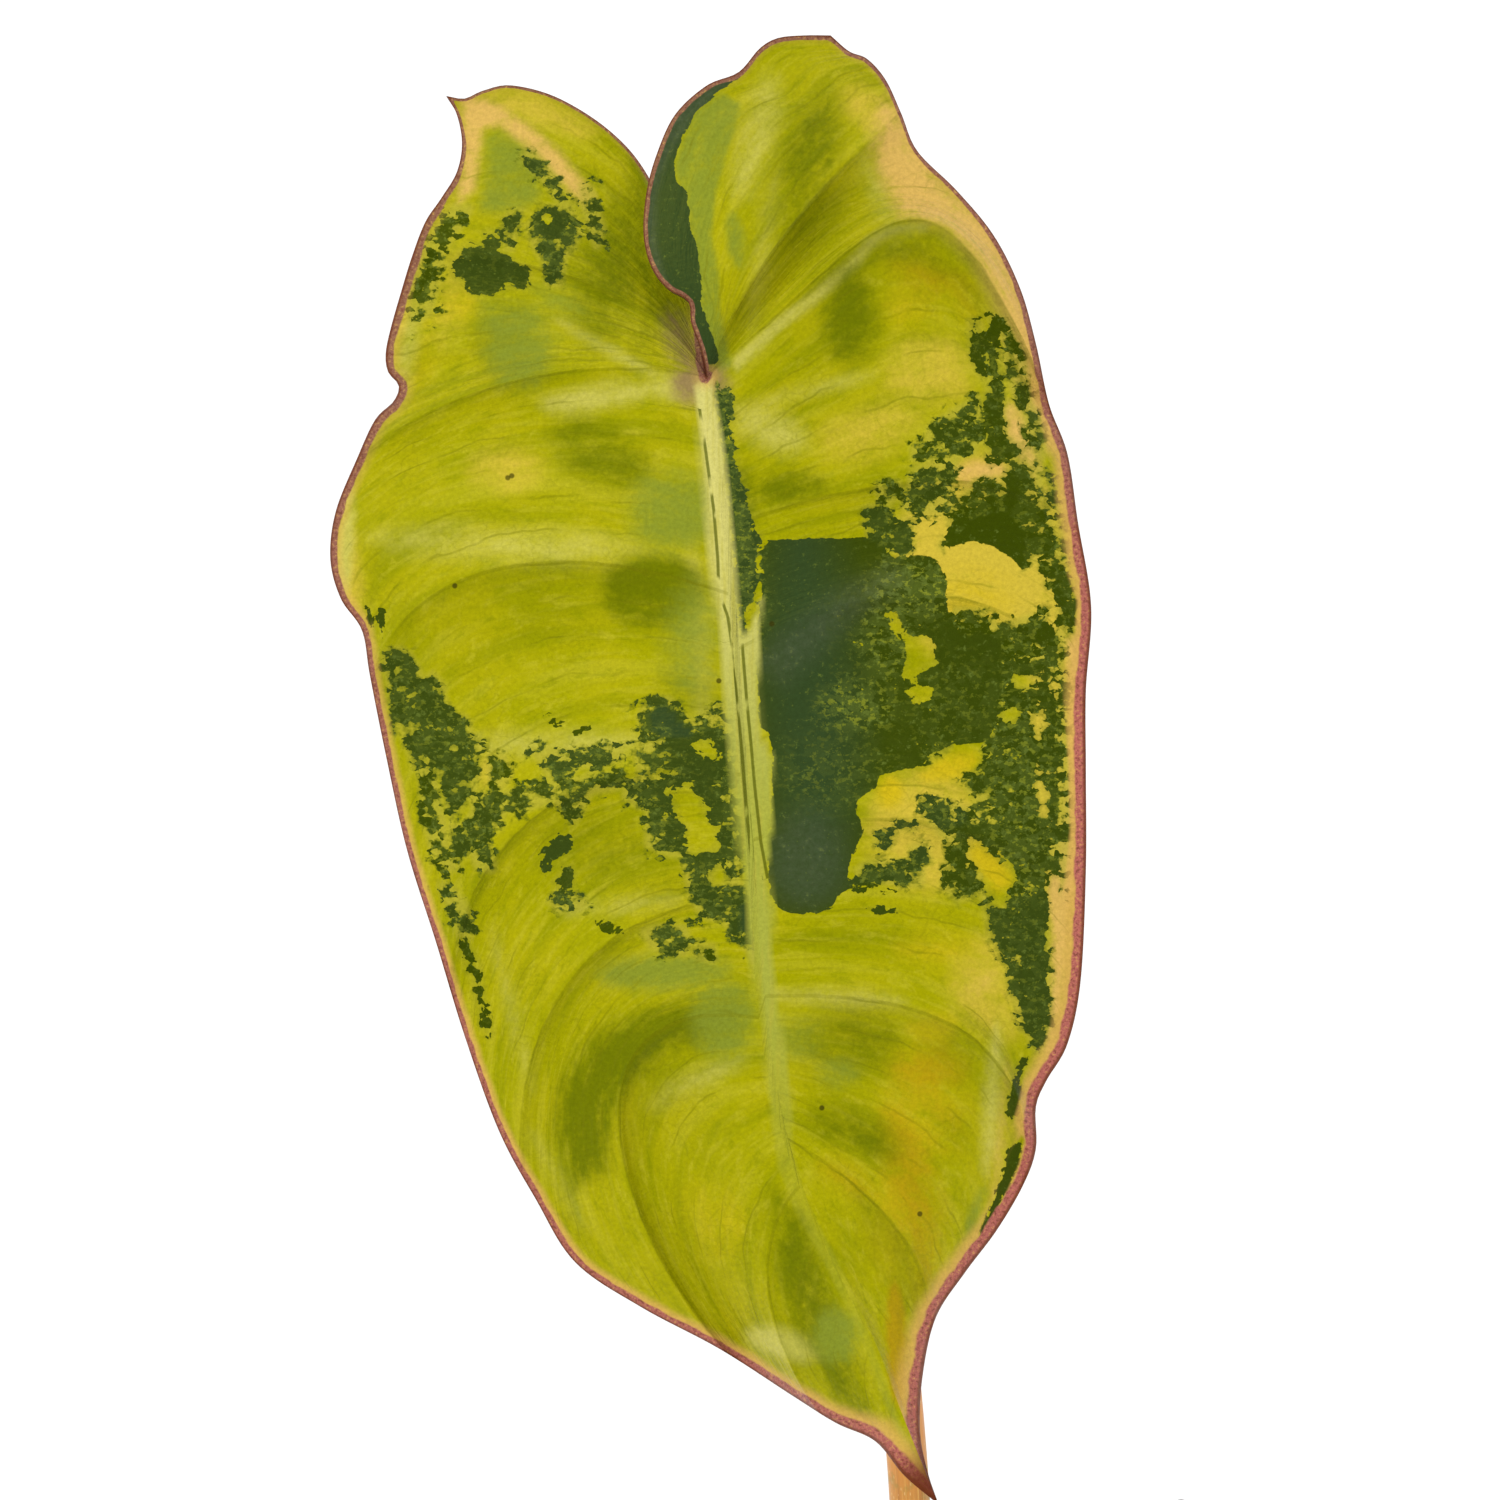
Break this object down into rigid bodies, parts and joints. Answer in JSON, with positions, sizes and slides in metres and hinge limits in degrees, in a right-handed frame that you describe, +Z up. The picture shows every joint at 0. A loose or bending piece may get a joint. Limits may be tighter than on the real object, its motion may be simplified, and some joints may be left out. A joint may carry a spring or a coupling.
{
  "type": "potted variegated philodendron billietiae",
  "caption": "Young climbing aroid in a plain clay pot, with long variegated arrow-shaped leaves on orange petioles and a rolled new leaf.",
  "frame": {"origin": "centre of the pot's flat underside", "axes": "+Z up, -Y towards the front of the large leaf, +X to its right as seen from the front"},
  "size_m": [0.2463, 0.2831, 0.5572],
  "materials": {
    "clay": "matte",
    "bark_mix": "matte",
    "stem": "satin",
    "petiole": "satin",
    "blade": "satin",
    "sheath": "satin",
    "new_leaf": "satin"
  },
  "bodies": {
    "root": {"pot": "clay", "soil_bark_mix": "bark_mix", "stem_with_aerial_roots": "stem", "petiole_large": "petiole", "leaf_blade_large": "blade", "petiole_middle": "petiole", "leaf_blade_middle": "blade", "petiole_small": "petiole", "leaf_blade_small": "blade", "new_leaf_sheath": "sheath", "new_leaf_rolled": "new_leaf"}
  },
  "joints": []
}
